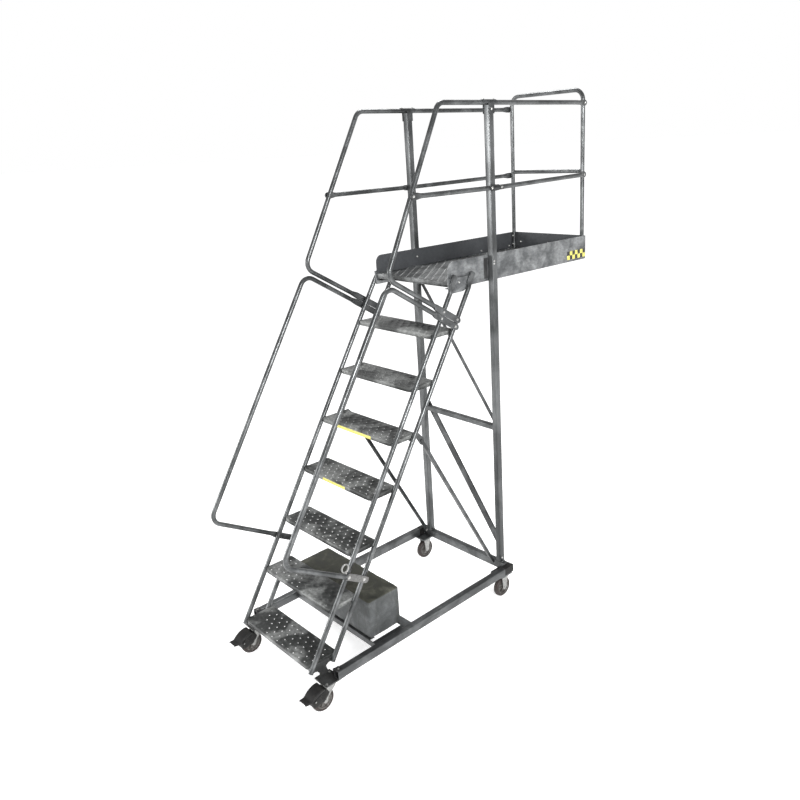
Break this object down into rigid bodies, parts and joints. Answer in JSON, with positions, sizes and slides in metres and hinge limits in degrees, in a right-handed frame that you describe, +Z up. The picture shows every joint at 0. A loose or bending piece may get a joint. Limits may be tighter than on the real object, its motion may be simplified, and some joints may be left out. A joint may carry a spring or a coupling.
{
  "type": "rolling warehouse ladder",
  "caption": "Rolling steel stair ladder with a cantilevered railed work platform, counterweight, swivel brake casters and rigid rear casters.",
  "frame": {"origin": "on the floor, under the centre of the whole ladder's box", "axes": "+Z up, -Y is the climbing side, +X is the climber's right"},
  "size_m": [0.8128, 2.4558, 3.015],
  "materials": {
    "painted_steel": "worn dark grey enamel with lighter scuffs",
    "tread_steel": "dark grey enamel on perforated sheet, scuffed",
    "dark_steel": "dark grey enamel, blotchy",
    "cast_block": null,
    "zinc": "bright zinc plate, slightly dull",
    "black_plastic": "satin black moulded cover",
    "tyre": "brown-black smooth tyre",
    "hub": "grey moulded wheel centre"
  },
  "bodies": {
    "frame": {"side_rail_left": "painted_steel", "side_rail_right": "painted_steel", "rear_cross_rail": "painted_steel", "front_bracket_left": "painted_steel", "front_bracket_right": "painted_steel", "ballast_frame": "painted_steel", "upright_left": "painted_steel", "upright_right": "painted_steel", "mid_crossbar": "painted_steel", "rear_brace_upper": "painted_steel", "rear_brace_lower": "painted_steel", "side_brace_left": "painted_steel", "side_brace_right": "painted_steel", "front_stile_left": "painted_steel", "front_stile_right": "painted_steel", "rear_stile_left": "painted_steel", "rear_stile_right": "painted_steel", "platform_frame": "painted_steel", "platform_hanger_left": "painted_steel", "platform_hanger_right": "painted_steel", "guard_rail_left": "painted_steel", "guard_rail_right": "painted_steel", "lower_handrail_left": "painted_steel", "lower_handrail_right": "painted_steel", "mid_rail_left": "painted_steel", "mid_rail_right": "painted_steel", "rear_guard": "painted_steel", "rear_mid_rail": "painted_steel", "step_1": "tread_steel", "step_2": "tread_steel", "step_3": "tread_steel", "step_4": "tread_steel", "step_5": "tread_steel", "step_6": "tread_steel", "step_7": "tread_steel", "platform_deck": "tread_steel", "toe_board_left": "dark_steel", "toe_board_right": "dark_steel", "toe_board_rear": "dark_steel", "counterweight": "cast_block", "eye_bolt": "zinc", "front_left_caster_plate": "zinc", "front_right_caster_plate": "zinc", "rear_left_fork": "zinc", "rear_right_fork": "zinc"},
    "front_left_swivel": {"front_left_fork": "zinc", "front_left_brake_housing": "black_plastic"},
    "front_left_pedal": {"front_left_brake_pedal": "black_plastic"},
    "front_left_wheel": {"front_left_tyre": "tyre", "front_left_hub": "hub"},
    "rear_left_wheel": {"rear_left_tyre": "tyre", "rear_left_hub": "hub"},
    "front_right_swivel": {"front_right_fork": "zinc", "front_right_brake_housing": "black_plastic"},
    "front_right_pedal": {"front_right_brake_pedal": "black_plastic"},
    "front_right_wheel": {"front_right_tyre": "tyre", "front_right_hub": "hub"},
    "rear_right_wheel": {"rear_right_tyre": "tyre", "rear_right_hub": "hub"}
  },
  "joints": [
    {"name": "front_left_caster_swivel", "type": "hinge", "parent": "frame", "child": "front_left_swivel", "pos_m": [-0.34671, -1.05433, 0.14478], "axis": [0, 0, 1], "continuous": true},
    {"name": "front_left_wheel_spin", "type": "hinge", "parent": "front_left_swivel", "child": "front_left_wheel", "pos_m": [-0.34671, -1.10259, 0.0635], "axis": [1, 0, 0], "continuous": true},
    {"name": "front_left_brake_press", "type": "hinge", "parent": "front_left_swivel", "child": "front_left_pedal", "pos_m": [-0.34671, -1.10767, 0.1397], "axis": [1, 0, 0], "range_deg": [0, 10]},
    {"name": "rear_left_wheel_spin", "type": "hinge", "parent": "frame", "child": "rear_left_wheel", "pos_m": [-0.35306, 0.28171, 0.0635], "axis": [1, 0, 0], "continuous": true},
    {"name": "front_right_caster_swivel", "type": "hinge", "parent": "frame", "child": "front_right_swivel", "pos_m": [0.34671, -1.05433, 0.14478], "axis": [0, 0, 1], "continuous": true},
    {"name": "front_right_wheel_spin", "type": "hinge", "parent": "front_right_swivel", "child": "front_right_wheel", "pos_m": [0.34671, -1.10259, 0.0635], "axis": [1, 0, 0], "continuous": true},
    {"name": "front_right_brake_press", "type": "hinge", "parent": "front_right_swivel", "child": "front_right_pedal", "pos_m": [0.34671, -1.10767, 0.1397], "axis": [1, 0, 0], "range_deg": [0, 10]},
    {"name": "rear_right_wheel_spin", "type": "hinge", "parent": "frame", "child": "rear_right_wheel", "pos_m": [0.35306, 0.28171, 0.0635], "axis": [1, 0, 0], "continuous": true}
  ]
}
